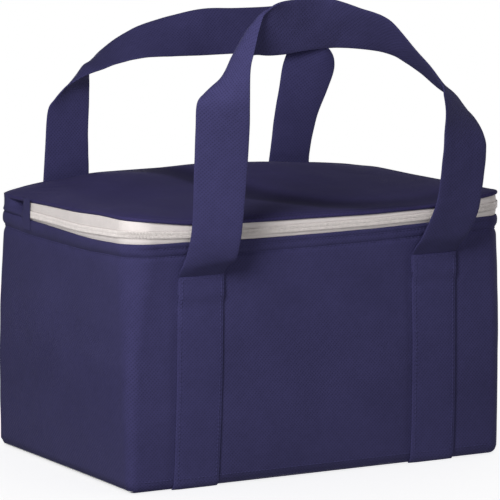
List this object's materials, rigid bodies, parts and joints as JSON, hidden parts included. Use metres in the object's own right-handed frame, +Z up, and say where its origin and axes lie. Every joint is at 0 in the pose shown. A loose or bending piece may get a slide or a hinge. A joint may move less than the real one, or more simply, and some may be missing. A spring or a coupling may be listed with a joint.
{
  "type": "insulated cooler bag",
  "caption": "Box-shaped insulated fabric bag with foam and foil lining, a lid that unzips along front and sides, and a pair of flat strap handles.",
  "frame": {"origin": "middle of the underside, on the surface that the bag stands on", "axes": "+X along the front to the viewer's right, +Y from front to back, +Z up"},
  "size_m": [0.3358, 0.314, 0.3807],
  "materials": {
    "navy_fabric": "spunbond non-woven, matt, fine diagonal emboss",
    "navy_binding": "folded non-woven tape, matt",
    "navy_strap": "double-layer non-woven strap with edge stitching",
    "closed_cell_foam": "white closed-cell PE foam",
    "foil_lining": "aluminised film, bright and slightly creased",
    "zipper_tape": "off-white woven tape",
    "zipper_coil": "off-white nylon coil, satin",
    "white_painted_metal": "white enamel on zinc, semi-gloss"
  },
  "bodies": {
    "bag_body": {"outer_wall": "navy_fabric", "bottom_panel": "navy_fabric", "bottom_foam": "closed_cell_foam", "wall_foam": "closed_cell_foam", "foil_liner": "foil_lining", "mouth_binding": "navy_binding", "hinge_band": "navy_binding", "zip_tape_lower": "zipper_tape", "zip_coil_lower": "zipper_coil", "lid_rear_panel": "navy_fabric", "lid_rear_foam": "closed_cell_foam", "lid_rear_liner": "foil_lining", "strap_front_left": "navy_strap", "strap_front_right": "navy_strap", "strap_back_left": "navy_strap", "strap_back_right": "navy_strap"},
    "lid_flap": {"lid_panel": "navy_fabric", "lid_foam": "closed_cell_foam", "lid_liner": "foil_lining", "lid_binding": "navy_binding", "zip_tape_upper": "zipper_tape", "zip_coil_upper": "zipper_coil"},
    "front_handle": {"handle_front": "navy_strap"},
    "back_handle": {"handle_back": "navy_strap"},
    "zip_slider": {"slider_body": "white_painted_metal", "slider_bail": "white_painted_metal"},
    "zip_pull": {"pull_tab": "white_painted_metal"}
  },
  "joints": [
    {"name": "lid_fold", "type": "hinge", "parent": "bag_body", "child": "lid_flap", "pos_m": [0, 0.062, 0.2123], "axis": [-1, 0, 0], "range_deg": [0, 100]},
    {"name": "front_handle_swing", "type": "hinge", "parent": "bag_body", "child": "front_handle", "pos_m": [0, -0.1116, 0.1665], "axis": [1, 0, 0], "range_deg": [-8, 125]},
    {"name": "back_handle_swing", "type": "hinge", "parent": "bag_body", "child": "back_handle", "pos_m": [0, 0.1116, 0.1665], "axis": [-1, 0, 0], "range_deg": [0, 125]},
    {"name": "slider_travel", "type": "slide", "parent": "bag_body", "child": "zip_slider", "axis": [0, -1, 0], "range_m": [0, 0.13]},
    {"name": "pull_swing", "type": "hinge", "parent": "zip_slider", "child": "zip_pull", "pos_m": [0.16815, 0.05, 0.1955], "axis": [0, 0, 1], "range_deg": [0, 170]}
  ]
}
